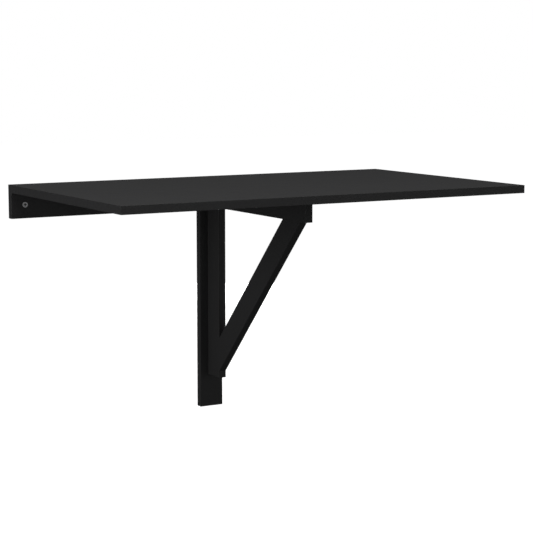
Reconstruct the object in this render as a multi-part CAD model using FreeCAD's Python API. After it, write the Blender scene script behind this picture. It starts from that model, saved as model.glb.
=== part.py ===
# A wall-mounted drop-leaf table. A rail and a post are screwed to the wall, a narrow fixed strip runs along
# the rail, the leaf is hinged to the strip from below, and a three-cornered gate swings out from the post to
# carry the leaf. Every board is a faced core with bands glued to its open edges. Millimetres. +X is to the
# right along the wall, +Y goes into the wall and +Z is up. The origin is on the wall's face, midway between
# the rail's two wall screws.
import FreeCAD, Part
import math
import os

Vec = FreeCAD.Vector
RIGHT = Vec(1, 0, 0)
LEFT = Vec(-1, 0, 0)
INTO_WALL = Vec(0, 1, 0)
OUT = Vec(0, -1, 0)
UP = Vec(0, 0, 1)
DOWN = Vec(0, 0, -1)
FULL_TURN = 360
SIDES = (-1, 1)

# Table top, measured out from the wall
table_width = 1000.0
table_depth = 600.0
top_thick = 18.0
strip_depth = 42.0
seam = 1.0

# Edges of every board
band_thick = 0.8
band_joint = 0.1
edge_round = 0.6

# Boards on the wall
wall_board_thick = 18.0
rail_height = 77.0
post_width = 60.0
post_offset = 10.0
overall_height = 563.0

# Gate: an upright, an arm and a slanting brace of one board
gate_thick = 18.0
gate_back_gap = 0.3
gate_height = 460.0
upright_depth = 56.0
arm_gap = 5.5
arm_height = 48.0
arm_reach = 470.0
brace_width = 56.0
brace_tip_setback = 21.0
brace_foot_rise = 16.5

# Bearing pad near the arm's end
pad_length = 24.0
pad_setback = 4.0
pad_side_inset = 1.5
pad_gap = 0.3
pad_round = 1.0

# Butt hinges
plate_thick = 1.2
plate_corner = 3.0
barrel_gap = 0.2
curl_slit = 0.25
knuckle_count = 5
knuckle_gap = 0.2
pin_radius = 1.2
pin_fit = 0.05
pin_head_spread = 0.5
pin_head_height = 0.8
pin_head_gap = 0.1
leaf_hinge_length = 60.0
leaf_hinge_width = 25.0
gate_hinge_length = 60.0
gate_hinge_width = 16.0
gate_hinge_top_drop = 50.0
gate_hinge_foot_rise = 60.0
hinge_screw_margin = 9.0
hinge_stagger_share = 0.1
leaf_hinge_place_shares = (-0.39, -0.15, 0.15, 0.39)

# Wall screws
wall_screw_drop = 46.0
wall_screw_inset = 33.0
post_screw_top_inset = 60.0
post_screw_foot_inset = 130.0
wall_screw_reach = 42.0
wall_screw_head_radius = 6.6
wall_screw_head_depth = 4.0
wall_screw_radius = 3.0
wall_screw_neck_radius = 2.2

# Screws and dowels inside the joints
hinge_screw_length = 14.0
hinge_screw_head_radius = 3.0
hinge_screw_head_depth = 1.5
hinge_screw_radius = 1.5
strip_screw_bite = 30.0
joint_screw_bite = 34.0
joint_screw_sink = 14.0
joint_screw_head_radius = 4.0
joint_screw_head_depth = 2.4
joint_screw_radius = 2.2
dowel_radius = 4.0
dowel_length = 30.0
dowel_chamfer = 1.0
strip_dowel_length = 24.0
post_dowel_spacing = 30.0
arm_dowel_spacing = 28.0
strip_screw_place_shares = (-0.46, -0.27, 0.0, 0.27, 0.46)
strip_dowel_place_shares = (-0.33, -0.22, 0.22, 0.33)
brace_dowel_place_shares = (0.35, 0.75)
brace_screw_place_share = 0.55
tip_length_share = 1.6
tip_radius_share = 0.2

# Clearance of a screw or dowel in its hole, room past a blind hole's end, and the overrun of open cuts
hole_fit = 0.05
hole_end_room = 0.5
overrun = 2.0
tiny = 1e-6

# Levels and places that follow from the sizes
half_width = table_width / 2
whole_reach = table_width + table_depth + overall_height
top_level = wall_screw_drop
under_level = top_level - top_thick
rail_bottom = top_level - rail_height
post_bottom = top_level - overall_height
strip_front = wall_board_thick + strip_depth
leaf_back = strip_front + seam
gate_top = under_level - arm_gap
gate_bottom = gate_top - gate_height
arm_bottom = gate_top - arm_height
gate_left = post_offset - gate_thick / 2
gate_right = post_offset + gate_thick / 2
upright_back = wall_board_thick + gate_back_gap
upright_front = upright_back + upright_depth
barrel_radius = pin_radius + pin_fit + plate_thick
pin_offset = barrel_radius + barrel_gap

# Head radius, head depth, neck radius and thread radius of each kind of screw
wall_screw_form = (wall_screw_head_radius, wall_screw_head_depth, wall_screw_neck_radius, wall_screw_radius)
hinge_screw_form = (hinge_screw_head_radius, hinge_screw_head_depth, hinge_screw_radius, hinge_screw_radius)
joint_screw_form = (joint_screw_head_radius, joint_screw_head_depth, joint_screw_radius, joint_screw_radius)


def point(x, out, z):
    """A point given by its distance out from the wall."""
    return Vec(x, -out, z)


def board(x, out, z):
    """A square-edged board between two limits across, out from the wall and up."""
    return Part.makeBox(x[1] - x[0], out[1] - out[0], z[1] - z[0], point(x[0], out[1], z[0]))


def eased(shape, sharp=(), radius=edge_round):
    """Round a board's edges, except those that lie in one of the (normal, level) planes."""

    def lies_in(edge, normal, level):
        return all(abs(v.Point.dot(normal) - level) < tiny for v in edge.Vertexes)

    edges = [e for e in shape.Edges if not any(lies_in(e, *plane) for plane in sharp)]
    return shape.makeFillet(radius, edges)


def beyond(normal, level):
    """All the space past a plane, as a block wider than the table."""
    side = whole_reach * 2
    block = Part.makeBox(side, side, whole_reach, Vec(-whole_reach, -whole_reach, 0))
    block.Placement = FreeCAD.Placement(normal * level, FreeCAD.Rotation(UP, normal))
    return block


def banded(body, edges):
    """Split a board into its core and the bands on its edges, which lie in (normal, level) planes.

    A band ends a hairline short of those glued on before it.
    """
    bands = []
    backs = []
    for normal, level in edges:
        back = (normal, level - band_thick)
        band = body.common(beyond(*back))
        body = body.cut(beyond(*back))
        for way, place in backs:
            band = band.cut(beyond(way, place - band_joint))
        bands += band.Solids
        backs.append(back)
    return body, bands


def drilled(shape, holes):
    """Cut a list of holes into one solid."""
    return shape.cut(holes).Solids[0]


def turned(profile, at, along):
    """Revolve a profile of (radius, height) points and stand it at a point, along a direction."""
    points = [Vec(radius, 0, height) for radius, height in profile]
    face = Part.Face(Part.makePolygon(points + points[:1]))
    solid = face.revolve(Vec(), UP, FULL_TURN)
    solid.Placement = FreeCAD.Placement(at, FreeCAD.Rotation(UP, along))
    return solid


class Screw:
    """A countersunk screw whose head's face is centred at a point, and whose shank runs along a direction."""

    def __init__(self, form, length, at, along, sink=0, neck_end=0):
        self.head_radius, self.head_depth, self.neck_radius, self.radius = form
        self.length = length
        self.at = at
        self.along = along
        self.sink = sink
        self.neck_end = neck_end

    def solid(self):
        """The screw, with a plain neck where it has one, and a blunted tip."""
        tip_length = self.radius * tip_length_share
        profile = [(0, 0), (self.head_radius, 0), (self.neck_radius, self.head_depth)]
        if self.neck_end:
            profile += [(self.neck_radius, self.neck_end), (self.radius, self.neck_end)]
        profile += [
            (self.radius, self.length - tip_length),
            (self.radius * tip_radius_share, self.length),
            (0, self.length),
        ]
        return turned(profile, self.at, self.along)

    def hole(self):
        """Its countersunk hole, wide enough for the thread, and bored out where the head is sunk."""
        cone_slope = self.head_depth / (self.head_radius - self.neck_radius)
        cone_depth = (self.head_radius - self.radius) * cone_slope
        head = self.head_radius + hole_fit
        thread = self.radius + hole_fit
        mouth = -self.sink - overrun
        end = self.length + hole_end_room
        profile = [(0, mouth), (head, mouth), (head, 0), (thread, cone_depth), (thread, end), (0, end)]
        return turned(profile, self.at, self.along)


class Dowel:
    """A chamfered dowel centred on the plane where two boards meet."""

    def __init__(self, length, at, along):
        self.length = length
        self.at = at
        self.along = along

    def solid(self):
        """The dowel."""
        half = self.length / 2
        narrow = dowel_radius - dowel_chamfer
        profile = [
            (0, -half),
            (narrow, -half),
            (dowel_radius, dowel_chamfer - half),
            (dowel_radius, half - dowel_chamfer),
            (narrow, half),
            (0, half),
        ]
        return turned(profile, self.at, self.along)

    def hole(self):
        """The blind holes in both boards, as one bore."""
        depth = self.length / 2 + hole_end_room
        radius = dowel_radius + hole_fit
        return turned([(0, -depth), (radius, -depth), (radius, depth), (0, depth)], self.at, self.along)


class HingeSide:
    """One plate of a butt hinge. The plate lies on the wood and runs off sideways from the pin's axis."""

    def __init__(self, pin_centre, plate_way, off_wood, length, width, first_knuckle):
        axis = plate_way.cross(off_wood)
        self.place = FreeCAD.Placement(pin_centre, FreeCAD.Rotation(plate_way, off_wood, axis, "XYZ"))
        self.off_wood = off_wood
        self.length = length
        self.width = width
        self.first_knuckle = first_knuckle
        self.inner = barrel_radius + knuckle_gap

    def screws(self):
        """Three screws in a shallow zigzag, with their heads level with the plate."""
        flat = self.width - self.inner
        reach = self.length / 2 - hinge_screw_margin
        seats = []
        for step in (-1, 0, 1):
            side = 1 if step else -1
            across = self.inner + flat / 2 + side * flat * hinge_stagger_share
            seats.append(self.place.multVec(Vec(across, plate_thick - pin_offset, step * reach)))
        return [Screw(hinge_screw_form, hinge_screw_length, at, -self.off_wood) for at in seats]

    def sheet(self, low, high, start, span):
        """The sheet from under the pin to the plate, between two heights above its face on the wood."""
        points = [
            Vec(0, low - barrel_radius, start),
            Vec(self.inner, low - pin_offset, start),
            Vec(self.inner, high - pin_offset, start),
            Vec(0, high - barrel_radius, start),
        ]
        return Part.Face(Part.makePolygon(points + points[:1])).extrude(UP * span)

    def plate(self):
        """The flat plate with rounded outer corners, and every second knuckle, curled round the pin."""
        low = -self.length / 2
        corner = Vec(self.inner, -pin_offset, low)
        plate = Part.makeBox(self.width - self.inner, plate_thick, self.length, corner)
        corners = [e for e in plate.Edges if all(v.X > self.width - tiny for v in e.Vertexes)]
        corners = [e for e in corners if e.Length < plate_thick + tiny]
        plate = plate.makeFillet(plate_corner, corners)
        pitch = (self.length + knuckle_gap) / knuckle_count
        span = pitch - knuckle_gap
        for i in range(self.first_knuckle, knuckle_count, 2):
            start = low + i * pitch
            curl = Part.makeCylinder(barrel_radius, span, Vec(0, 0, start))
            slit = self.sheet(plate_thick, plate_thick + curl_slit, start, span)
            tongue = self.sheet(0, plate_thick, start, span)
            plate = plate.fuse([curl.cut(slit), tongue])
        bore = Part.makeCylinder(pin_radius + pin_fit, self.length, Vec(0, 0, low))
        plate = plate.cut(bore).removeSplitter()
        plate.Placement = self.place
        return drilled(plate, [s.hole() for s in self.screws()])

    def pin(self):
        """The pin, riveted over at both ends."""
        neck = self.length / 2 + pin_head_gap
        end = neck + pin_head_height
        head = pin_radius + pin_head_spread
        profile = [
            (0, -end),
            (pin_radius, -end),
            (head, -neck),
            (pin_radius, -neck),
            (pin_radius, neck),
            (head, neck),
            (pin_radius, end),
            (0, end),
        ]
        axis = self.place.Rotation.multVec(UP)
        return turned(profile, self.place.Base, axis)


def solids_of(pieces):
    """A group of identical loose pieces as one shape."""
    return Part.Compound([piece.solid() for piece in pieces])


def holes_of(pieces):
    """The holes of a list of screws or dowels."""
    return [piece.hole() for piece in pieces]


# Fasteners, placed where the boards meet
rail_wall_screws = [
    Screw(
        wall_screw_form,
        wall_board_thick + wall_screw_reach,
        point(side * (half_width - wall_screw_inset), wall_board_thick, 0),
        INTO_WALL,
        neck_end=wall_board_thick,
    )
    for side in SIDES
]
post_wall_screws = [
    Screw(
        wall_screw_form,
        wall_board_thick + wall_screw_reach,
        point(post_offset, wall_board_thick, level),
        INTO_WALL,
        neck_end=wall_board_thick,
    )
    for level in (rail_bottom - post_screw_top_inset, post_bottom + post_screw_foot_inset)
]
strip_screws = [
    Screw(
        joint_screw_form,
        wall_board_thick + strip_screw_bite,
        point(share * table_width, 0, top_level - top_thick / 2),
        OUT,
    )
    for share in strip_screw_place_shares
]
strip_dowels = [
    Dowel(
        strip_dowel_length,
        point(share * table_width, wall_board_thick, top_level - top_thick / 2),
        OUT,
    )
    for share in strip_dowel_place_shares
]
post_dowels = [
    Dowel(
        dowel_length,
        point(post_offset + side * post_dowel_spacing / 2, wall_board_thick / 2, rail_bottom),
        UP,
    )
    for side in SIDES
]

# The brace's outer edge runs from its foot on the upright to its tip under the arm
brace_tip = arm_reach - brace_tip_setback
brace_foot = gate_bottom + brace_foot_rise
brace_run = brace_tip - upright_front
brace_rise = arm_bottom - brace_foot
brace_slant = math.hypot(brace_run, brace_rise)
brace_foot_face = brace_width * brace_slant / brace_run
brace_head_face = brace_width * brace_slant / brace_rise

arm_dowels = [
    Dowel(
        dowel_length,
        point(post_offset, upright_front, (gate_top + arm_bottom + side * arm_dowel_spacing) / 2),
        OUT,
    )
    for side in SIDES
]
brace_foot_dowels = [
    Dowel(dowel_length, point(post_offset, upright_front, brace_foot + share * brace_foot_face), OUT)
    for share in brace_dowel_place_shares
]
brace_head_dowels = [
    Dowel(dowel_length, point(post_offset, brace_tip - share * brace_head_face, arm_bottom), DOWN)
    for share in brace_dowel_place_shares
]
arm_end_screw = Screw(
    joint_screw_form,
    upright_depth - joint_screw_sink + joint_screw_bite,
    point(post_offset, upright_back + joint_screw_sink, (gate_top + arm_bottom) / 2),
    OUT,
    joint_screw_sink,
)
brace_head_screw = Screw(
    joint_screw_form,
    arm_height - joint_screw_sink + joint_screw_bite,
    point(post_offset, brace_tip - brace_screw_place_share * brace_head_face, gate_top - joint_screw_sink),
    DOWN,
    joint_screw_sink,
)

# Hinges: the leaf's lie flat across the seam, the gate's sit in the corner between post and upright
strip_sides = []
leaf_sides = []
for share in leaf_hinge_place_shares:
    centre = point(share * table_width, strip_front + seam / 2, under_level - pin_offset)
    strip_sides.append(HingeSide(centre, INTO_WALL, DOWN, leaf_hinge_length, leaf_hinge_width, 0))
    leaf_sides.append(HingeSide(centre, OUT, DOWN, leaf_hinge_length, leaf_hinge_width, 1))

post_sides = []
gate_sides = []
for level in (rail_bottom - gate_hinge_top_drop, gate_bottom + gate_hinge_foot_rise):
    centre = point(gate_right + pin_offset, wall_board_thick + pin_offset, level)
    post_sides.append(HingeSide(centre, RIGHT, OUT, gate_hinge_length, gate_hinge_width, 0))
    gate_sides.append(HingeSide(centre, OUT, RIGHT, gate_hinge_length, gate_hinge_width, 1))

strip_hinge_screws = [s for side in strip_sides for s in side.screws()]
leaf_hinge_screws = [s for side in leaf_sides for s in side.screws()]
post_hinge_screws = [s for side in post_sides for s in side.screws()]
gate_hinge_screws = [s for side in gate_sides for s in side.screws()]

parts = {}


def add_board(name, body, butted, open_edges, fastenings):
    """Ease a board's open edges, split off their bands and bore it all for its screws and dowels."""
    core, bands = banded(eased(body, butted), open_edges)
    holes = holes_of(fastenings)
    parts[name] = drilled(core, holes)
    parts[f"{name}_edge_bands"] = Part.Compound([drilled(band, holes) for band in bands])


def add_wall_boards():
    """The full-width rail, the fixed strip of the top in front of it, and the post under it."""
    ends = [(RIGHT, half_width), (LEFT, half_width)]
    rail = board((-half_width, half_width), (0, wall_board_thick), (rail_bottom, top_level))
    rail_fastenings = rail_wall_screws + strip_screws + strip_dowels + post_dowels
    add_board("wall_rail", rail, [], [(UP, top_level), (DOWN, -rail_bottom)] + ends, rail_fastenings)

    strip = board((-half_width, half_width), (wall_board_thick, strip_front), (under_level, top_level))
    strip_fastenings = strip_screws + strip_dowels + strip_hinge_screws
    strip_back = (INTO_WALL, -wall_board_thick)
    add_board("rear_strip", strip, [strip_back], [(OUT, strip_front)] + ends, strip_fastenings)

    post_left = post_offset - post_width / 2
    post_right = post_offset + post_width / 2
    post = board((post_left, post_right), (0, wall_board_thick), (post_bottom, rail_bottom))
    post_edges = [(RIGHT, post_right), (LEFT, -post_left), (DOWN, -post_bottom)]
    post_fastenings = post_wall_screws + post_dowels + post_hinge_screws
    add_board("wall_post", post, [(UP, rail_bottom)], post_edges, post_fastenings)


def add_leaf():
    """The hinged leaf, from the seam to the front edge."""
    body = board((-half_width, half_width), (leaf_back, table_depth), (under_level, top_level))
    edges = [(OUT, table_depth), (INTO_WALL, -leaf_back), (RIGHT, half_width), (LEFT, half_width)]
    add_board("table_leaf", body, [], edges, leaf_hinge_screws)


def add_gate():
    """The gate's upright, its arm just under the leaf, and the brace between them, all butted."""
    upright = board((gate_left, gate_right), (upright_back, upright_front), (gate_bottom, gate_top))
    upright_edges = [(OUT, upright_front), (INTO_WALL, -upright_back), (UP, gate_top), (DOWN, -gate_bottom)]
    upright_fastenings = arm_dowels + brace_foot_dowels + [arm_end_screw] + gate_hinge_screws
    add_board("gate_upright", upright, [], upright_edges, upright_fastenings)

    arm = board((gate_left, gate_right), (upright_front, arm_reach), (arm_bottom, gate_top))
    arm_edges = [(UP, gate_top), (DOWN, -arm_bottom), (OUT, arm_reach)]
    arm_fastenings = arm_dowels + brace_head_dowels + [arm_end_screw, brace_head_screw]
    add_board("gate_arm", arm, [(OUT, upright_front)], arm_edges, arm_fastenings)

    corners = [
        point(gate_left, brace_tip, arm_bottom),
        point(gate_left, upright_front, brace_foot),
        point(gate_left, upright_front, brace_foot + brace_foot_face),
        point(gate_left, brace_tip - brace_head_face, arm_bottom),
    ]
    brace = Part.Face(Part.makePolygon(corners + corners[:1])).extrude(RIGHT * gate_thick)
    outward = Vec(0, -brace_rise / brace_slant, -brace_run / brace_slant)
    brace_edges = [(outward, outward.dot(corners[0])), (-outward, -outward.dot(corners[2]))]
    brace_butts = [(OUT, upright_front), (UP, arm_bottom)]
    brace_fastenings = brace_foot_dowels + brace_head_dowels + [brace_head_screw]
    add_board("gate_brace", brace, brace_butts, brace_edges, brace_fastenings)


def arm_pad():
    """The pad on the arm's end that the leaf rests on."""
    end = arm_reach - pad_setback
    sides = (gate_left + pad_side_inset, gate_right - pad_side_inset)
    body = board(sides, (end - pad_length, end), (gate_top, under_level - pad_gap))
    return eased(body, [(UP, gate_top)], pad_round)


add_wall_boards()
add_leaf()
add_gate()
parts["arm_pad"] = arm_pad()
fastener_groups = {
    "rail_wall_screws": rail_wall_screws,
    "post_wall_screws": post_wall_screws,
    "strip_screws": strip_screws,
    "strip_dowels": strip_dowels,
    "post_dowels": post_dowels,
    "arm_dowels": arm_dowels,
    "brace_dowels": brace_foot_dowels + brace_head_dowels,
    "arm_end_screw": [arm_end_screw],
    "brace_head_screw": [brace_head_screw],
    "strip_hinge_screws": strip_hinge_screws,
    "leaf_hinge_screws": leaf_hinge_screws,
    "post_hinge_screws": post_hinge_screws,
    "gate_hinge_screws": gate_hinge_screws,
}
for name, pieces in fastener_groups.items():
    parts[name] = solids_of(pieces)
for number, (strip_side, leaf_side) in enumerate(zip(strip_sides, leaf_sides), start=1):
    parts[f"strip_hinge_plate_{number}"] = strip_side.plate()
    parts[f"leaf_hinge_plate_{number}"] = leaf_side.plate()
    parts[f"leaf_hinge_pin_{number}"] = strip_side.pin()
for place, post_side, gate_side in zip(("upper", "lower"), post_sides, gate_sides):
    parts[f"post_hinge_plate_{place}"] = post_side.plate()
    parts[f"gate_hinge_plate_{place}"] = gate_side.plate()
    parts[f"gate_hinge_pin_{place}"] = post_side.pin()

os.makedirs("parts", exist_ok=True)
for name, shape in parts.items():
    shape.exportStep(f"parts/{name}.step")
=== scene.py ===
import logging
import math
from dataclasses import dataclass
from enum import Enum

import bpy
import numpy as np
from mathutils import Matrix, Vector


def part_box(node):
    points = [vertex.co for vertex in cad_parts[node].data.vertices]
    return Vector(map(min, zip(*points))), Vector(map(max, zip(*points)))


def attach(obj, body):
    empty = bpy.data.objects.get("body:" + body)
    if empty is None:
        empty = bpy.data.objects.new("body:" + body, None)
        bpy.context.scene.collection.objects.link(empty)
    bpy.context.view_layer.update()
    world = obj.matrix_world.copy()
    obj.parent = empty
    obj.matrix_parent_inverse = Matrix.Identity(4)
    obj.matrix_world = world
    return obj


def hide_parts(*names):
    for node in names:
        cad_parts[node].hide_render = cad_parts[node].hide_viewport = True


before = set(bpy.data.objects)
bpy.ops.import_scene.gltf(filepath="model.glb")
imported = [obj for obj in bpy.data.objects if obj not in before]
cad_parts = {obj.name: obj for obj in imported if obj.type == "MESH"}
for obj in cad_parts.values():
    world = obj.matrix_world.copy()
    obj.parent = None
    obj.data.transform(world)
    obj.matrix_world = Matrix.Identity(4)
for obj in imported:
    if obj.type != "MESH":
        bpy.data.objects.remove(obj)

Array = np.ndarray
Point = tuple[float, float, float]
Colour = tuple[float, float, float]
Span = tuple[float, float]
Socket = bpy.types.NodeSocket
Material = bpy.types.Material

LOG = logging.getLogger("drop_leaf_table")
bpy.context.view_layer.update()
FULL_TURN = 2 * math.pi
GOLDEN_TURN = math.pi * (3 - math.sqrt(5))
RIGHT_ANGLE = 90.0
OPAQUE = 1.0
WHITE = (1.0, 1.0, 1.0)
EVEN = (1.0, 1.0, 1.0)
NOISE_QUARTERS = (0.25, 0.75)
HINGE_DARK = (0.30, 0.305, 0.31)
HINGE_LIGHT = (0.52, 0.525, 0.53)
UPRIGHT_GRAIN = (1.0, 1.0, 0.06)
LEVEL_GRAIN = (1.0, 0.06, 1.0)
RECESS_ATTRIBUTE = "recess"
TINY = 1e-9


class Body(Enum):
    """The bodies that move against each other."""

    WALL = "wall_frame"
    LEAF = "leaf"
    GATE = "gate"


class Slot(Enum):
    """Material slot names for the new pieces; fit_piece takes one but does not use it."""

    SCREW = "screw_steel"
    PAD = "pad_felt"


class Axis(Enum):
    """The table's axes, by the name of a coordinate."""

    ACROSS = "X"
    OUTWARD = "Y"
    UPWARD = "Z"


class Way(Enum):
    """Directions in the table's frame."""

    LEFT = (-1.0, 0.0, 0.0)
    RIGHT = (1.0, 0.0, 0.0)
    INTO_WALL = (0.0, 1.0, 0.0)
    OUT = (0.0, -1.0, 0.0)
    UP = (0.0, 0.0, 1.0)
    DOWN = (0.0, 0.0, -1.0)

    @property
    def array(self) -> Array:
        """The direction as an array."""
        return np.array(self.value)

    @property
    def opposite(self) -> "Way":
        """The direction that runs the other way."""
        return Way(tuple(-part for part in self.value))


class Shader:
    """A material under construction, with its principled shader and object coordinates."""

    def __init__(self, name: str) -> None:
        """Start an empty material.

        Args:
            name: the material's name.
        """
        self.material = bpy.data.materials.new(name)
        self.material.use_nodes = True
        self.tree = self.material.node_tree
        self.surface = self.tree.nodes["Principled BSDF"]
        self.place = self.node("ShaderNodeTexCoord").outputs["Object"]

    def node(self, kind: str) -> bpy.types.Node:
        """Add a node of the given kind."""
        return self.tree.nodes.new(kind)

    def link(self, source: Socket, target: Socket) -> None:
        """Lead one socket into another."""
        self.tree.links.new(source, target)

    def noise(self, size: float, detail: float, stretch: Point = EVEN) -> Socket:
        """Cloudy noise whose blots have about the given size.

        Args:
            size: the size of a blot, in metres.
            detail: octaves of finer noise.
            stretch: the scale of the coordinates along each axis.

        Returns:
            The noise, from 0 to 1.
        """
        mapping = self.node("ShaderNodeMapping")
        mapping.inputs["Scale"].default_value = stretch
        self.link(self.place, mapping.inputs["Vector"])
        noise = self.node("ShaderNodeTexNoise")
        noise.inputs["Scale"].default_value = 1 / size
        noise.inputs["Detail"].default_value = detail
        self.link(mapping.outputs["Vector"], noise.inputs["Vector"])
        return noise.outputs["Fac"]

    def cells(self, size: float) -> Socket:
        """Rounded cells, such as pebbled film, wood chips or zinc flakes.

        Args:
            size: the size of a cell, in metres.

        Returns:
            The smoothed distance from each cell's middle.
        """
        cells = self.node("ShaderNodeTexVoronoi")
        cells.feature = "SMOOTH_F1"
        cells.inputs["Scale"].default_value = 1 / size
        self.link(self.place, cells.inputs["Vector"])
        return cells.outputs["Distance"]

    def attribute(self, name: str) -> Socket:
        """A value stored on the mesh, or 0 where there is none."""
        stored = self.node("ShaderNodeAttribute")
        stored.attribute_name = name
        return stored.outputs["Fac"]

    def calc(self, operation: str, first: Socket, second: float = 0.0) -> Socket:
        """Work out a sum of a value and a number.

        Args:
            operation: the kind of sum.
            first: the value.
            second: the number, where the sum has one.

        Returns:
            The result.
        """
        node = self.node("ShaderNodeMath")
        node.operation = operation
        first_input, second_input, _ = node.inputs
        self.link(first, first_input)
        second_input.default_value = second
        return node.outputs["Value"]

    def plus(self, first: Socket, second: Socket, share: float) -> Socket:
        """The first value plus a share of the second.

        Args:
            first: the main value.
            second: the value that is added.
            share: how much of it is added.

        Returns:
            The result.
        """
        node = self.node("ShaderNodeMath")
        node.operation = "ADD"
        first_input, second_input, _ = node.inputs
        self.link(first, first_input)
        self.link(self.calc("MULTIPLY", second, share), second_input)
        return node.outputs["Value"]

    def spread(self, source: Socket, span: Span) -> Socket:
        """Spread the middle half of a noise over a span of values.

        Args:
            source: a noise from 0 to 1.
            span: the values at the noise's low and high quarter.

        Returns:
            The spread value.
        """
        node = self.node("ShaderNodeMapRange")
        node.inputs["From Min"].default_value, node.inputs["From Max"].default_value = NOISE_QUARTERS
        node.inputs["To Min"].default_value, node.inputs["To Max"].default_value = span
        self.link(source, node.inputs["Value"])
        return node.outputs["Result"]

    def mixed(self, factor: Socket, low: Colour | Socket, high: Colour | Socket) -> Socket:
        """A colour between two others.

        Args:
            factor: where to stand between them, from 0 to 1.
            low: the colour at 0.
            high: the colour at 1.

        Returns:
            The colour.
        """
        node = self.node("ShaderNodeMix")
        node.data_type = "RGBA"
        for end, colour in (("A", low), ("B", high)):
            if isinstance(colour, tuple):
                node.inputs[end].default_value = (*colour, OPAQUE)
            else:
                self.link(colour, node.inputs[end])
        self.link(factor, node.inputs["Factor"])
        return node.outputs["Result"]

    def buried(self, axis: Axis, faces: Span, cover: float) -> Socket:
        """Tell where the surface lies inside a board, as the walls of its holes do.

        The distance from the board's middle is compared with half its thickness, less the cover.

        Args:
            axis: the axis across the board's thickness.
            faces: where the board's two faces lie on that axis.
            cover: the thickness of the film on each face.

        Returns:
            1 inside the board and 0 on its faces.
        """
        parts = self.node("ShaderNodeSeparateXYZ")
        self.link(self.place, parts.inputs["Vector"])
        offset = self.calc("SUBTRACT", parts.outputs[axis.value], sum(faces) / 2)
        inner_half = (faces[1] - faces[0]) / 2 - cover
        return self.calc("LESS_THAN", self.calc("ABSOLUTE", offset), inner_half)

    def bump(self, height: Socket, depth: float, strength: float) -> None:
        """Raise the surface by a height map.

        Args:
            height: the map, from 0 to 1.
            depth: the height at 1, in metres.
            strength: how far the normals follow it, from 0 to 1.
        """
        node = self.node("ShaderNodeBump")
        node.inputs["Distance"].default_value = depth
        node.inputs["Strength"].default_value = strength
        self.link(height, node.inputs["Height"])
        self.link(node.outputs["Normal"], self.surface.inputs["Normal"])

    def feed(self, source: Socket, target: str) -> None:
        """Lead a value into one of the principled shader's inputs."""
        self.link(source, self.surface.inputs[target])

    def fix(self, **values: float) -> None:
        """Set inputs of the principled shader that are the same all over."""
        for name, value in values.items():
            self.surface.inputs[name.replace("_", " ")].default_value = value


@dataclass(frozen=True)
class FacedBoard:
    """Melamine-faced chipboard: a matt black film with a fine pebble, and bare chips where it is bored."""

    name: str
    node: str
    thin_axis: Axis
    film: float = 0.0004
    dark: Colour = (0.0276, 0.0276, 0.0281)
    light: Colour = (0.0316, 0.0316, 0.0321)
    cloud: float = 0.16
    cloud_detail: float = 3.0
    speck: float = 0.0009
    speck_detail: float = 1.0
    speck_share: float = 0.2
    pebble: float = 0.0010
    pebble_depth: float = 0.00030
    pebble_strength: float = 0.5
    rub: float = 0.055
    rub_detail: float = 3.0
    roughness: Span = (0.505, 0.545)
    specular: float = 0.30
    chip_deep: Colour = (0.17, 0.10, 0.05)
    chip_pale: Colour = (0.44, 0.31, 0.18)
    chip: float = 0.0016

    def material(self) -> Material:
        """The finish as a material.

        Returns:
            The material, for boards that lie between the same two planes as the named node.
        """
        shader = Shader(self.name)
        coordinate = self.thin_axis.value.lower()
        low, high = (getattr(corner, coordinate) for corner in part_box(self.node))
        inside = shader.buried(self.thin_axis, (low, high), self.film)
        speck = shader.noise(self.speck, self.speck_detail)
        cloud = shader.noise(self.cloud, self.cloud_detail)
        tone = shader.plus(cloud, speck, self.speck_share)
        film = shader.mixed(tone, self.dark, self.light)
        chips = shader.mixed(shader.cells(self.chip), self.chip_deep, self.chip_pale)
        shader.feed(shader.mixed(inside, film, chips), "Base Color")
        shader.feed(shader.spread(shader.noise(self.rub, self.rub_detail), self.roughness), "Roughness")
        pebble = shader.plus(shader.cells(self.pebble), speck, self.speck_share)
        shader.bump(pebble, self.pebble_depth, self.pebble_strength)
        shader.fix(Specular_IOR_Level=self.specular)
        return shader.material


@dataclass(frozen=True)
class GluedEdging:
    """Black plastic edge band: close to the board's colour, a little smoother, and faintly wavy."""

    name: str = "black_edging"
    dark: Colour = (0.0266, 0.0266, 0.0272)
    light: Colour = (0.0326, 0.0326, 0.0332)
    cloud: float = 0.05
    cloud_detail: float = 3.0
    wave: float = 0.006
    wave_detail: float = 1.0
    wave_share: float = 0.6
    pebble: float = 0.0006
    pebble_depth: float = 0.00015
    pebble_strength: float = 0.4
    roughness: Span = (0.43, 0.52)
    specular: float = 0.30

    def material(self) -> Material:
        """The finish as a material."""
        shader = Shader(self.name)
        cloud = shader.noise(self.cloud, self.cloud_detail)
        shader.feed(shader.mixed(cloud, self.dark, self.light), "Base Color")
        wave = shader.noise(self.wave, self.wave_detail)
        shader.feed(shader.spread(wave, self.roughness), "Roughness")
        surface = shader.plus(shader.cells(self.pebble), wave, self.wave_share)
        shader.bump(surface, self.pebble_depth, self.pebble_strength)
        shader.fix(Specular_IOR_Level=self.specular)
        return shader.material


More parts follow.
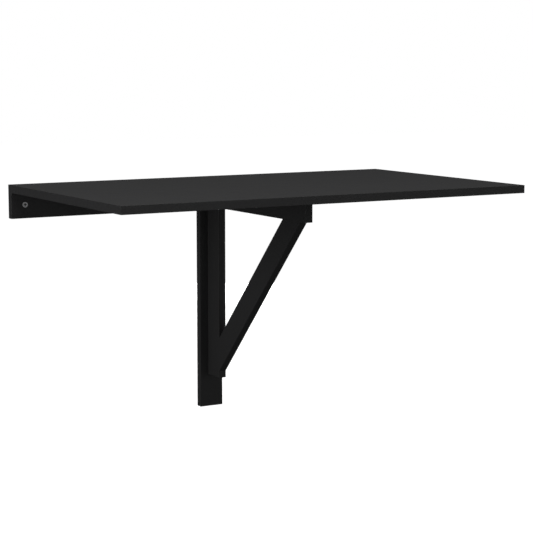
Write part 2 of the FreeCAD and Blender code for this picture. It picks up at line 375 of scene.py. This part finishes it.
@dataclass(frozen=True)
class ZincSteel:
    """Zinc-plated steel: a bright base with small flakes, fine draw marks, and painted shade that darkens
    the screws' cross recesses.
    """

    name: str
    dark: Colour = (0.36, 0.365, 0.37)
    light: Colour = (0.60, 0.605, 0.61)
    recess_shade: Colour = (0.06, 0.06, 0.06)
    flake: float = 0.0011
    flake_share: float = 0.5
    patch: float = 0.009
    patch_detail: float = 3.0
    mark: float = 0.0004
    mark_detail: float = 2.0
    mark_stretch: Point = (0.04, 1.0, 1.0)
    wear_share: float = 0.5
    mark_depth: float = 0.00001
    mark_strength: float = 0.25
    roughness: Span = (0.26, 0.44)
    metallic: float = 1.0

    def material(self) -> Material:
        """The finish as a material."""
        shader = Shader(self.name)
        marks = shader.noise(self.mark, self.mark_detail, self.mark_stretch)
        patches = shader.noise(self.patch, self.patch_detail)
        tone = shader.plus(patches, shader.cells(self.flake), self.flake_share)
        plating = shader.mixed(tone, self.dark, self.light)
        recess = shader.attribute(RECESS_ATTRIBUTE)
        # Painted shade: the recess rows are coloured near-black, standing in for the shade that falls inside
        # the cross recess.
        shader.feed(shader.mixed(recess, plating, self.recess_shade), "Base Color")
        wear = shader.plus(marks, tone, self.wear_share)
        shader.feed(shader.spread(wear, self.roughness), "Roughness")
        shader.bump(marks, self.mark_depth, self.mark_strength)
        shader.fix(Metallic=self.metallic)
        return shader.material


@dataclass(frozen=True)
class BeechDowel:
    """Bare beech, with streaks and short dark rays along the dowel."""

    name: str
    along: Point
    pale: Colour = (0.52, 0.36, 0.21)
    deep: Colour = (0.36, 0.22, 0.11)
    streak: float = 0.0012
    streak_detail: float = 3.0
    ray: float = 0.0004
    ray_detail: float = 2.0
    ray_share: float = 0.5
    grain_depth: float = 0.00004
    grain_strength: float = 0.4
    roughness: Span = (0.55, 0.75)
    specular: float = 0.3

    def material(self) -> Material:
        """The finish as a material."""
        shader = Shader(self.name)
        streaks = shader.noise(self.streak, self.streak_detail, self.along)
        rays = shader.noise(self.ray, self.ray_detail, self.along)
        grain = shader.plus(streaks, rays, self.ray_share)
        shader.feed(shader.mixed(grain, self.pale, self.deep), "Base Color")
        shader.feed(shader.spread(grain, self.roughness), "Roughness")
        shader.bump(grain, self.grain_depth, self.grain_strength)
        shader.fix(Specular_IOR_Level=self.specular)
        return shader.material


@dataclass(frozen=True)
class PressedFelt:
    """Pressed black felt, with a nap of short fibres."""

    name: str = "black_pressed_felt"
    dark: Colour = (0.012, 0.012, 0.013)
    light: Colour = (0.055, 0.055, 0.058)
    fibre: float = 0.00035
    fibre_detail: float = 4.0
    tuft: float = 0.0016
    tuft_detail: float = 2.0
    tuft_share: float = 0.6
    nap_depth: float = 0.00025
    nap_strength: float = 0.8
    roughness: float = 0.95
    specular: float = 0.1
    sheen: float = 0.25

    def material(self) -> Material:
        """The finish as a material."""
        shader = Shader(self.name)
        fibres = shader.noise(self.fibre, self.fibre_detail)
        nap = shader.plus(fibres, shader.noise(self.tuft, self.tuft_detail), self.tuft_share)
        shader.feed(shader.mixed(nap, self.dark, self.light), "Base Color")
        shader.bump(nap, self.nap_depth, self.nap_strength)
        shader.fix(Roughness=self.roughness, Specular_IOR_Level=self.specular, Sheen_Weight=self.sheen)
        return shader.material


@dataclass(frozen=True)
class Finishes:
    """Every finish, made once and shared by the sub-assemblies."""

    wall_board: Material
    top_board: Material
    gate_board: Material
    edging: Material
    screw: Material
    hinge: Material
    upright_dowel: Material
    level_dowel: Material
    felt: Material

    @classmethod
    def make(cls) -> "Finishes":
        """Make all the materials.

        Returns:
            The finishes.
        """
        return cls(
            wall_board=FacedBoard("black_wall_board", "wall_rail", Axis.OUTWARD).material(),
            top_board=FacedBoard("black_top_board", "table_leaf", Axis.UPWARD).material(),
            gate_board=FacedBoard("black_gate_board", "gate_arm", Axis.ACROSS).material(),
            edging=GluedEdging().material(),
            screw=ZincSteel("zinc_plated_screws").material(),
            hinge=ZincSteel("zinc_plated_hinges", dark=HINGE_DARK, light=HINGE_LIGHT).material(),
            upright_dowel=BeechDowel("beech_dowel_upright", along=UPRIGHT_GRAIN).material(),
            level_dowel=BeechDowel("beech_dowel_level", along=LEVEL_GRAIN).material(),
            felt=PressedFelt().material(),
        )


class Skin:
    """Collects closed surfaces, given as grids of points, into one mesh."""

    def __init__(self) -> None:
        """Start with no surface."""
        self.points: list[Array] = []
        self.recess: list[Array] = []
        self.quads: list[Array] = []
        self.fans: list[Array] = []
        self.count = 0

    def add(self, first_pole: Array, rows: Array, last_pole: Array, sunk_rows: int = 0) -> None:
        """Add a surface that closes round on itself and ends in a pole at each end.

        Quads join each row to the next, and a fan of triangles joins each pole to the row beside it. The
        signed volume under the triangles is positive for faces that point outwards, so a surface with a
        negative one has its rows turned end for end.

        Args:
            first_pole: the point before the first row.
            rows: points of shape (rows, around, 3).
            last_pole: the point after the last row.
            sunk_rows: how many of the first rows lie in a recess, with the first pole.
        """
        number, around, _ = rows.shape
        index = 1 + np.arange(number * around).reshape(number, around)
        turned = np.roll(index, -1, axis=1)
        corners = (index[:-1], turned[:-1], turned[1:], index[1:])
        quads = np.stack(corners, axis=-1).reshape(-1, len(corners))
        last = number * around + 1
        start = np.stack([turned[0], index[0], np.zeros_like(index[0])], axis=-1)
        end = np.stack([index[-1], turned[-1], np.full_like(index[-1], last)], axis=-1)
        fans = np.concatenate([start, end])
        points = np.concatenate([first_pole[None], rows.reshape(-1, 3), last_pole[None]])
        triangles = np.concatenate([fans, quads[:, [0, 1, 2]], quads[:, [0, 2, 3]]])
        if np.linalg.det(points[triangles] - points.mean(axis=0)).sum() < 0:
            quads = quads[:, ::-1]
            fans = fans[:, ::-1]
        sunk_points = 1 + sunk_rows * around if sunk_rows else 0
        self.points.append(points)
        # This mask marks the recess rows, where the screw material paints shade.
        self.recess.append((np.arange(len(points)) < sunk_points).astype(np.float32))
        self.quads.append(quads + self.count)
        self.fans.append(fans + self.count)
        self.count += len(points)

    def piece(self, name: str, sharp_angle: float) -> bpy.types.Object:
        """Make the mesh and its object.

        Args:
            name: the piece's name.
            sharp_angle: faces that meet at more than this angle, in radians, have a crisp edge.

        Returns:
            The object, at the origin.
        """
        quads = np.concatenate(self.quads)
        fans = np.concatenate(self.fans)
        corners = np.concatenate([quads.ravel(), fans.ravel()])
        quad_starts = np.arange(len(quads)) * quads.shape[1]
        fan_starts = quads.size + np.arange(len(fans)) * fans.shape[1]
        starts = np.concatenate([quad_starts, fan_starts])
        mesh = bpy.data.meshes.new(name)
        mesh.vertices.add(self.count)
        mesh.vertices.foreach_set("co", np.concatenate(self.points).ravel())
        mesh.loops.add(len(corners))
        mesh.loops.foreach_set("vertex_index", corners)
        mesh.polygons.add(len(starts))
        mesh.polygons.foreach_set("loop_start", starts)
        mesh.polygons.foreach_set("use_smooth", np.ones(len(starts), bool))
        recess = mesh.attributes.new(RECESS_ATTRIBUTE, "FLOAT", "POINT")
        recess.data.foreach_set("value", np.concatenate(self.recess))
        mesh.update(calc_edges=True)
        mesh.validate()
        mesh.set_sharp_from_angle(angle=sharp_angle)
        piece = bpy.data.objects.new(name, mesh)
        bpy.context.scene.collection.objects.link(piece)
        return piece


def corners_of(node: str) -> tuple[Array, Array]:
    """The lowest and highest corner of one of the frame's solids, as arrays."""
    low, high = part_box(node)
    return np.array(low), np.array(high)


def finish_solid(node: str, material: Material) -> None:
    """Give a solid of the frame its finish.

    Args:
        node: the solid's name.
        material: its finish.
    """
    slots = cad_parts[node].data.materials
    slots.clear()
    slots.append(material)
    LOG.info("finished %s in %s", node, material.name)


def finish_boards(boards: tuple[str, ...], faced: Material, edging: Material) -> None:
    """Give boards and their edge bands their finishes.

    Args:
        boards: the boards' names.
        faced: the finish of the boards.
        edging: the finish of their edge bands.
    """
    for board in boards:
        finish_solid(board, faced)
        finish_solid(f"{board}_edge_bands", edging)


def fit_piece(piece: bpy.types.Object, node: str, body: Body, slot: Slot, material: Material) -> None:
    """Fit a new piece in the place of a solid of the frame.

    Args:
        piece: the new piece.
        node: the solid that it stands for.
        body: the body that it moves with.
        slot: not used.
        material: its finish.
    """
    piece.data.materials.append(material)
    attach(piece, body.value)
    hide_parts(node)
    LOG.info("made %s for %s, %d faces", piece.name, node, len(piece.data.polygons))


@dataclass(frozen=True)
class Seat:
    """Where a screw sits: the middle of its head's face, and the way that its shank runs."""

    at: Array
    along: Way


@dataclass(frozen=True)
class Screw:
    """A countersunk cross-recess screw, worked out as one surface round its own axis."""

    head_radius: float
    head_depth: float
    neck_radius: float
    thread_radius: float
    thread_start: float
    length: float
    pitch: float
    steps_per_turn: int
    root_share: float = 0.68
    tooth_half_share: float = 0.32
    tip_share: float = 1.6
    rim_share: float = 0.05
    wing_length_share: float = 0.60
    wing_width_share: float = 0.15
    recess_depth_share: float = 0.78
    recess_ring_shares: tuple[float, ...] = (0.35, 0.68, 0.86, 0.95, 1.0)
    recess_power: float = 3.0
    face_ring_shares: tuple[float, ...] = (0.06, 0.5, 1.0)
    corner_steps: int = 3
    wings: int = 4
    sharp_angle: float = math.radians(38)

    def angles(self) -> Array:
        """Angles round the axis that meet each corner of the cross.

        The cross's outline turns at its wing tips' corners and at the inner corners, half way between the
        wings. One half of a wing's sector is cut into even steps on both sides of the tip's corner, then
        mirrored and repeated.

        Returns:
            The angles, in radians, rising from 0.
        """
        tip = math.atan2(self.wing_width_share, self.wing_length_share)
        sector = FULL_TURN / self.wings
        half = np.concatenate([
            np.linspace(0, tip, self.corner_steps)[:-1],
            np.linspace(tip, sector / 2, self.corner_steps + 1),
        ])
        whole = np.concatenate([half, sector - half[-2:0:-1]])
        return (whole[None] + np.arange(self.wings)[:, None] * sector).ravel()

    def cross_outline(self, angle: Array) -> Array:
        """Radius of a cross's outline: the farther edge of its two crossed bars, at each angle.

        A bar reaches to its end or to its side, whichever is nearer along the angle.

        Args:
            angle: angles round the axis.

        Returns:
            The outline's radius at each angle.
        """
        length = self.wing_length_share * self.head_radius
        width = self.wing_width_share * self.head_radius
        cosine = np.maximum(np.abs(np.cos(angle)), TINY)
        sine = np.maximum(np.abs(np.sin(angle)), TINY)
        level = np.minimum(length / cosine, width / sine)
        upright = np.minimum(length / sine, width / cosine)
        return np.maximum(level, upright)

    def head_rows(self, angle: Array) -> tuple[Array, Array]:
        """The recess, the face and the rim as radii and depths.

        Rings of the recess are the cross's outline times a share, and their depth falls off with a power of
        that share. Rings of the face move from the outline to the rim's circle.

        Args:
            angle: angles round the axis.

        Returns:
            Radii and depths, each of shape (rings, angles).
        """
        cross = self.cross_outline(angle)[None]
        share = np.array(self.recess_ring_shares)[:, None]
        deepest = self.recess_depth_share * self.head_depth
        rim = self.rim_share * self.head_radius
        blend = np.array(self.face_ring_shares)[:, None]
        face = cross + (self.head_radius - rim - cross) * blend
        radius = np.concatenate([share * cross, face])
        sunk = np.broadcast_to(deepest * (1 - share**self.recess_power), (len(share), len(angle)))
        depth = np.concatenate([sunk, np.zeros_like(face)])
        return radius, depth

    def shank_rows(self, angle: Array) -> tuple[Array, Array]:
        """The cone under the head, the plain neck, the thread and the tip as radii and depths.

        The thread's radius is the root plus a tooth: a ridge of triangular section whose middle climbs one
        pitch in each turn. The ridge fades in over the first turn and out along the tip, where the root
        narrows to a point.

        Args:
            angle: angles round the axis.

        Returns:
            Radii and depths, each of shape (rings, angles).
        """
        rim = self.rim_share * self.head_radius
        plain_depth = np.array([rim / 2, self.head_depth, self.thread_start])
        slope = (self.head_radius - self.neck_radius) / self.head_depth
        plain_radius = np.array([self.head_radius - slope * rim / 2, self.neck_radius, self.neck_radius])
        tip = self.tip_share * self.thread_radius
        turns = (self.length - self.thread_start) / self.pitch
        depth = np.linspace(self.thread_start, self.length, int(turns * self.steps_per_turn) + 1)[1:-1]
        place = (depth[:, None] / self.pitch - angle[None] / FULL_TURN) % 1
        tooth = np.clip(1 - np.abs(place - 1 / 2) / self.tooth_half_share, 0, 1)
        fade_in = np.clip((depth - self.thread_start) / self.pitch, 0, 1)
        narrow = np.clip((self.length - depth) / tip, 0, 1)
        root = self.root_share * self.thread_radius
        ridge = (self.thread_radius - root) * tooth * (fade_in * narrow)[:, None]
        radius = root * narrow[:, None] + ridge
        flat = np.ones((1, len(angle)))
        return (
            np.concatenate([plain_radius[:, None] * flat, radius]),
            np.concatenate([plain_depth[:, None] * flat, depth[:, None] * flat]),
        )

    def add_to(self, skin: Skin, seat: Seat, spin: float) -> None:
        """Add one screw to a mesh.

        A point is the seat, plus its radius across the shank, plus its depth along it.

        Args:
            skin: the mesh under construction.
            seat: where the screw sits.
            spin: how far the recess is turned, in radians.
        """
        angle = self.angles()
        head_radius, head_depth = self.head_rows(angle)
        shank_radius, shank_depth = self.shank_rows(angle)
        radius = np.concatenate([head_radius, shank_radius])[..., None]
        depth = np.concatenate([head_depth, shank_depth])[..., None]
        along = seat.along.array
        side = np.roll(np.abs(along), 1)
        other = np.cross(along, side)
        across = np.cos(angle + spin)[:, None] * side + np.sin(angle + spin)[:, None] * other
        rows = seat.at + radius * across[None] + depth * along
        bottom = seat.at + along * self.recess_depth_share * self.head_depth
        sunk_rows = len(self.recess_ring_shares) - 1
        skin.add(bottom, rows, seat.at + along * self.length, sunk_rows)


@dataclass(frozen=True)
class ScrewSet:
    """Identical screws that share one node of the frame."""

    node: str
    body: Body
    screw: Screw
    seats: list[Seat]

    @classmethod
    def row(
        cls, node: str, body: Body, screw: Screw, along: Way, row: Way, shares: tuple[float, ...]
    ) -> "ScrewSet":
        """Screws in a row, read from the box of their node.

        The first and last head touch the ends of the box, and the heads' faces lie on its side.

        Args:
            node: the node that holds the screws.
            body: the body that they ride on.
            screw: their form.
            along: the way that the shanks run.
            row: the way from the first screw to the last.
            shares: places in the row, from -1 at the first screw to 1 at the last.

        Returns:
            The set.
        """
        low, high = corners_of(node)
        half = (high - low) / 2
        face = (low + high) / 2 - along.array * (half @ np.abs(along.array))
        reach = half @ row.array - screw.head_radius
        return cls(node, body, screw, [Seat(face + row.array * reach * share, along) for share in shares])

    def build(self, finishes: Finishes) -> None:
        """Make the screws as one piece, each recess turned differently.

        Args:
            finishes: the materials.
        """
        skin = Skin()
        for number, seat in enumerate(self.seats):
            self.screw.add_to(skin, seat, number * GOLDEN_TURN)
        piece = skin.piece(f"{self.node}_threaded", self.screw.sharp_angle)
        fit_piece(piece, self.node, self.body, Slot.SCREW, finishes.screw)


WALL_SCREW = Screw(
    head_radius=0.0066,
    head_depth=0.0040,
    neck_radius=0.0022,
    thread_radius=0.003,
    thread_start=0.018,
    length=0.060,
    pitch=0.0026,
    steps_per_turn=8,
)
HINGE_SCREW = Screw(
    head_radius=0.003,
    head_depth=0.0015,
    neck_radius=0.0012,
    thread_radius=0.0015,
    thread_start=0.004,
    length=0.014,
    pitch=0.0013,
    steps_per_turn=5,
)


@dataclass(frozen=True)
class JointScrew:
    """The sizes that the screws inside the table's joints share."""

    head_radius: float = 0.004
    head_depth: float = 0.0024
    neck_radius: float = 0.0016
    thread_radius: float = 0.0022
    pitch: float = 0.0019
    steps_per_turn: int = 6

    def of(self, length: float, bite: float) -> Screw:
        """A joint screw of a given length.

        Args:
            length: its whole length.
            bite: how far its thread reaches into the second board.

        Returns:
            The screw.
        """
        return Screw(
            head_radius=self.head_radius,
            head_depth=self.head_depth,
            neck_radius=self.neck_radius,
            thread_radius=self.thread_radius,
            thread_start=length - bite,
            length=length,
            pitch=self.pitch,
            steps_per_turn=self.steps_per_turn,
        )


@dataclass(frozen=True)
class HingePlate:
    """One plate of a butt hinge, read from the frame, with the seats of its three screws."""

    node: str
    pin_node: str
    plate_way: Way
    off_wood: Way
    barrel_clear: float = 0.00265
    thickness: float = 0.0012
    screw_margin: float = 0.009
    stagger_share: float = 0.1

    def seats(self) -> list[Seat]:
        """Screw seats in a shallow zigzag along the plate, level with its face.

        Returns:
            Three seats.
        """
        low, high = corners_of(self.node)
        pin_low, pin_high = corners_of(self.pin_node)
        away = self.plate_way.array
        off = self.off_wood.array
        axis = np.abs(np.cross(away, off))
        wood = np.where(off > 0, low, high) @ np.abs(off)
        outer = np.where(away > 0, high, low) @ np.abs(away)
        pin = (pin_low + pin_high) / 2 @ np.abs(away)
        middle = (low + high) / 2 @ axis
        reach = (high - low) @ axis / 2 - self.screw_margin
        flat = abs(outer - pin) - self.barrel_clear
        level = np.abs(off) * wood + off * self.thickness
        found = []
        for step in (-1, 0, 1):
            side = 1 if step else -1
            across = self.barrel_clear + flat / 2 + side * flat * self.stagger_share
            at = np.abs(away) * pin + away * across + level + axis * (middle + step * reach)
            found.append(Seat(at, self.off_wood.opposite))
        return found


@dataclass(frozen=True)
class Hinges:
    """Butt hinges that carry one body on the wall boards: plates, pins and screws."""

    fixed: str
    turning: str
    body: Body
    places: tuple[str, ...]
    fixed_ways: tuple[Way, Way]
    turning_ways: tuple[Way, Way]

    def build(self, finishes: Finishes) -> None:
        """Dress the plates and pins and make their screws.

        Args:
            finishes: the materials.
        """
        for side, body, ways in (
            (self.fixed, Body.WALL, self.fixed_ways),
            (self.turning, self.body, self.turning_ways),
        ):
            plates = [self.plate(side, place, ways) for place in self.places]
            for plate in plates:
                finish_solid(plate.node, finishes.hinge)
            seats = [seat for plate in plates for seat in plate.seats()]
            ScrewSet(f"{side}_hinge_screws", body, HINGE_SCREW, seats).build(finishes)
        for place in self.places:
            finish_solid(f"{self.turning}_hinge_pin_{place}", finishes.hinge)

    def plate(self, side: str, place: str, ways: tuple[Way, Way]) -> HingePlate:
        """One of the plates.

        Args:
            side: the board that it is screwed to.
            place: which of the hinges it belongs to.
            ways: the way that it runs off from the pin, and the way off the wood.

        Returns:
            The plate.
        """
        return HingePlate(f"{side}_hinge_plate_{place}", f"{self.turning}_hinge_pin_{place}", *ways)


LEAF_HINGES = Hinges(
    fixed="strip",
    turning="leaf",
    body=Body.LEAF,
    places=("1", "2", "3", "4"),
    fixed_ways=(Way.INTO_WALL, Way.DOWN),
    turning_ways=(Way.OUT, Way.DOWN),
)
GATE_HINGES = Hinges(
    fixed="post",
    turning="gate",
    body=Body.GATE,
    places=("upper", "lower"),
    fixed_ways=(Way.RIGHT, Way.OUT),
    turning_ways=(Way.OUT, Way.RIGHT),
)


@dataclass(frozen=True)
class WallBoards:
    """The rail, the fixed strip and the post, with their wall screws and the fastenings between them."""

    ends: tuple[float, ...] = (-1.0, 1.0)
    strip_places: tuple[float, ...] = (-0.46, -0.27, 0.0, 0.27, 0.46)
    strip_screw_length: float = 0.048
    strip_screw_bite: float = 0.030

    def build(self, finishes: Finishes) -> None:
        """Make the screws and dress the boards and dowels.

        Args:
            finishes: the materials.
        """
        finish_boards(("wall_rail", "wall_post"), finishes.wall_board, finishes.edging)
        finish_boards(("rear_strip",), finishes.top_board, finishes.edging)
        finish_solid("strip_dowels", finishes.level_dowel)
        finish_solid("post_dowels", finishes.upright_dowel)
        strip_screw = JointScrew().of(self.strip_screw_length, self.strip_screw_bite)
        strip_shares = tuple(place / self.strip_places[-1] for place in self.strip_places)
        for node, screw, along, row, shares in (
            ("rail_wall_screws", WALL_SCREW, Way.INTO_WALL, Way.RIGHT, self.ends),
            ("post_wall_screws", WALL_SCREW, Way.INTO_WALL, Way.UP, self.ends),
            ("strip_screws", strip_screw, Way.OUT, Way.RIGHT, strip_shares),
        ):
            ScrewSet.row(node, Body.WALL, screw, along, row, shares).build(finishes)


@dataclass(frozen=True)
class Leaf:
    """The leaf that lifts and drops."""

    board: str = "table_leaf"

    def build(self, finishes: Finishes) -> None:
        """Dress the leaf and its edge bands."""
        finish_boards((self.board,), finishes.top_board, finishes.edging)


@dataclass(frozen=True)
class FeltPad:
    """The felt pad on the arm's end that the leaf rests on."""

    node: str = "arm_pad"
    around: int = 96
    corner_power: float = 0.28
    width_shares: tuple[float, ...] = (0.86, 0.97, 1.0, 1.0, 0.99, 0.93, 0.80, 0.5)
    height_shares: tuple[float, ...] = (0.0, 0.03, 0.16, 0.55, 0.80, 0.93, 0.975, 1.0)
    nap_share: float = 0.012
    nap_waves: tuple[int, int] = (23, 41)
    sharp_angle: float = math.radians(80)
    fill: float = 0.9

    def build(self, finishes: Finishes) -> None:
        """Make the pad.

        The outline is a rounded rectangle: cosine and sine, each raised to a small power with its sign
        kept. Each row scales it by a width share at a height share, which gives a flat foot, upright sides
        and a crowned top. Two waves round the outline, turned from row to row, ruffle the nap inwards.

        Args:
            finishes: the materials.
        """
        low, high = corners_of(self.node)
        middle = (low + high) / 2
        half = (high - low) / 2
        angle = np.arange(self.around) * FULL_TURN / self.around
        width = np.array(self.width_shares)[:, None]
        row = np.arange(len(self.width_shares))[:, None]
        first, second = (np.sin(waves * angle + row * waves) for waves in self.nap_waves)
        reach = width * (1 + (first + second - 2) * self.nap_share / 2)
        outline_x = np.sign(np.cos(angle)) * np.abs(np.cos(angle)) ** self.corner_power
        outline_y = np.sign(np.sin(angle)) * np.abs(np.sin(angle)) ** self.corner_power
        x = middle[0] + half[0] * reach * outline_x
        y = middle[1] + half[1] * reach * outline_y
        level = low[2] + np.array(self.height_shares)[:, None] * (high - low)[2]
        z = np.broadcast_to(level, x.shape)
        foot = np.array((middle[0], middle[1], low[2]))
        crown = np.array((middle[0], middle[1], high[2]))
        skin = Skin()
        skin.add(foot, np.stack([x, y, z], axis=-1), crown)
        piece = skin.piece("felt_bearing_pad", self.sharp_angle)
        fit_piece(piece, self.node, Body.GATE, Slot.PAD, finishes.felt)


@dataclass(frozen=True)
class Gate:
    """The swinging gate: its three boards, the joints between them and the pad on its arm."""

    boards: tuple[str, ...] = ("gate_upright", "gate_arm", "gate_brace")
    middle: tuple[float, ...] = (0.0,)
    screw_bite: float = 0.034
    arm_screw_length: float = 0.076
    brace_screw_length: float = 0.068

    def build(self, finishes: Finishes) -> None:
        """Dress the boards and dowels, and make the joint screws and the pad.

        Args:
            finishes: the materials.
        """
        finish_boards(self.boards, finishes.gate_board, finishes.edging)
        finish_solid("arm_dowels", finishes.level_dowel)
        finish_solid("brace_dowels", finishes.level_dowel)
        for node, length, along in (
            ("arm_end_screw", self.arm_screw_length, Way.OUT),
            ("brace_head_screw", self.brace_screw_length, Way.DOWN),
        ):
            screw = JointScrew().of(length, self.screw_bite)
            ScrewSet.row(node, Body.GATE, screw, along, Way.RIGHT, self.middle).build(finishes)
        FeltPad().build(finishes)


@dataclass(frozen=True)
class SoftBox:
    """A large soft light that faces the table."""

    name: str
    centre: Point
    size: Span
    power: float
    target: Point = (0.0, -0.3, -0.1)

    def build(self) -> None:
        """Make the light."""
        light = bpy.data.lights.new(self.name, "AREA")
        light.shape = "RECTANGLE"
        light.size, light.size_y = self.size
        light.energy = self.power
        lamp = bpy.data.objects.new(self.name, light)
        lamp.location = self.centre
        lamp.rotation_euler = (Vector(self.target) - Vector(self.centre)).to_track_quat("-Z", "Y").to_euler()
        lamp.visible_camera = False
        bpy.context.scene.collection.objects.link(lamp)


@dataclass(frozen=True)
class Studio:
    """A white studio: a pale floor, soft boxes and the camera."""

    image: int = 533
    focal: float = 1614.34
    sensor: float = 36.0
    eye: Point = (-1.82609, -3.44491, 0.34036)
    yaw: float = 30.1654
    pitch: float = 7.5253
    floor_level: float = -0.70
    floor_half: float = 14.0
    floor_steps: int = 29
    floor_glow: float = 1.0
    floor_colour: Colour = (0.16, 0.16, 0.16)
    ambient: float = 0.0615
    soft_boxes: tuple[SoftBox, ...] = (
        SoftBox("overhead_box", centre=(-0.4, -0.9, 2.6), size=(3.2, 2.4), power=70.0),
        SoftBox("left_box", centre=(-3.4, -0.9, 0.3), size=(2.2, 2.2), power=43.0),
        SoftBox("front_box", centre=(0.6, -4.6, 0.3), size=(3.0, 2.4), power=16.0),
        SoftBox("right_box", centre=(3.4, -0.6, 0.6), size=(2.2, 2.2), power=16.0),
        SoftBox("back_box", centre=(1.8, 2.8, -1.0), size=(2.0, 1.0), power=80.0),
    )

    def build(self) -> None:
        """Make the surroundings, the floor, the lights and the camera."""
        self.build_world()
        self.build_floor()
        for box in self.soft_boxes:
            box.build()
        self.build_camera()
        bpy.context.scene.view_settings.view_transform = "Standard"

    def build_world(self) -> None:
        """Surround the table with white, which lights it only faintly."""
        world = bpy.data.worlds.new("white_studio")
        world.use_nodes = True
        tree = world.node_tree
        faint = tree.nodes["Background"]
        faint.inputs["Strength"].default_value = self.ambient
        seen = tree.nodes.new("ShaderNodeBackground")
        for background in (faint, seen):
            background.inputs["Color"].default_value = (*WHITE, OPAQUE)
        path = tree.nodes.new("ShaderNodeLightPath")
        mix = tree.nodes.new("ShaderNodeMixShader")
        factor, otherwise, to_camera = mix.inputs
        tree.links.new(path.outputs["Is Camera Ray"], factor)
        tree.links.new(faint.outputs["Background"], otherwise)
        tree.links.new(seen.outputs["Background"], to_camera)
        tree.links.new(mix.outputs["Shader"], tree.nodes["World Output"].inputs["Surface"])
        bpy.context.scene.world = world

    def floor_material(self) -> Material:
        """A pale, glowing floor that is clear from below, so that the table's underside can be seen.

        Returns:
            The material.
        """
        shader = Shader("pale_floor")
        shader.fix(Emission_Strength=self.floor_glow)
        shader.surface.inputs["Base Color"].default_value = (*self.floor_colour, OPAQUE)
        shader.surface.inputs["Emission Color"].default_value = (*WHITE, OPAQUE)
        mix = shader.node("ShaderNodeMixShader")
        factor, above, below = mix.inputs
        shader.link(shader.node("ShaderNodeNewGeometry").outputs["Backfacing"], factor)
        shader.link(shader.surface.outputs["BSDF"], above)
        shader.link(shader.node("ShaderNodeBsdfTransparent").outputs["BSDF"], below)
        shader.link(mix.outputs["Shader"], shader.tree.nodes["Material Output"].inputs["Surface"])
        return shader.material

    def build_floor(self) -> None:
        """Lay a flat floor as a grid, which neither lights nor shades the table."""
        line = np.linspace(-self.floor_half, self.floor_half, self.floor_steps)
        x, y = np.meshgrid(line, line, indexing="ij")
        points = np.stack([x, y, np.full_like(x, self.floor_level)], axis=-1).reshape(-1, 3)
        index = np.arange(self.floor_steps**2).reshape(self.floor_steps, self.floor_steps)
        loops = (index[:-1, :-1], index[1:, :-1], index[1:, 1:], index[:-1, 1:])
        mesh = bpy.data.meshes.new("studio_floor")
        mesh.from_pydata(points.tolist(), [], np.stack(loops, axis=-1).reshape(-1, len(loops)).tolist())
        mesh.materials.append(self.floor_material())
        floor = bpy.data.objects.new("studio_floor", mesh)
        floor.visible_diffuse = False
        floor.visible_glossy = False
        floor.visible_shadow = False
        bpy.context.scene.collection.objects.link(floor)

    def build_camera(self) -> None:
        """Stand the camera where the photograph was taken from."""
        data = bpy.data.cameras.new("photo_camera")
        data.sensor_width = self.sensor
        data.lens = self.sensor * self.focal / self.image
        camera = bpy.data.objects.new("photo_camera", data)
        camera.location = self.eye
        camera.rotation_euler = (math.radians(RIGHT_ANGLE - self.pitch), 0.0, math.radians(-self.yaw))
        bpy.context.scene.collection.objects.link(camera)
        bpy.context.scene.camera = camera


def main() -> None:
    """Build and dress the table, one sub-assembly at a time, in a white studio."""
    logging.basicConfig(level=logging.INFO, format="%(name)s: %(message)s")
    finishes = Finishes.make()
    for assembly in (WallBoards(), LEAF_HINGES, Leaf(), GATE_HINGES, Gate()):
        assembly.build(finishes)
    Studio().build()


if __name__ == "__main__":
    main()
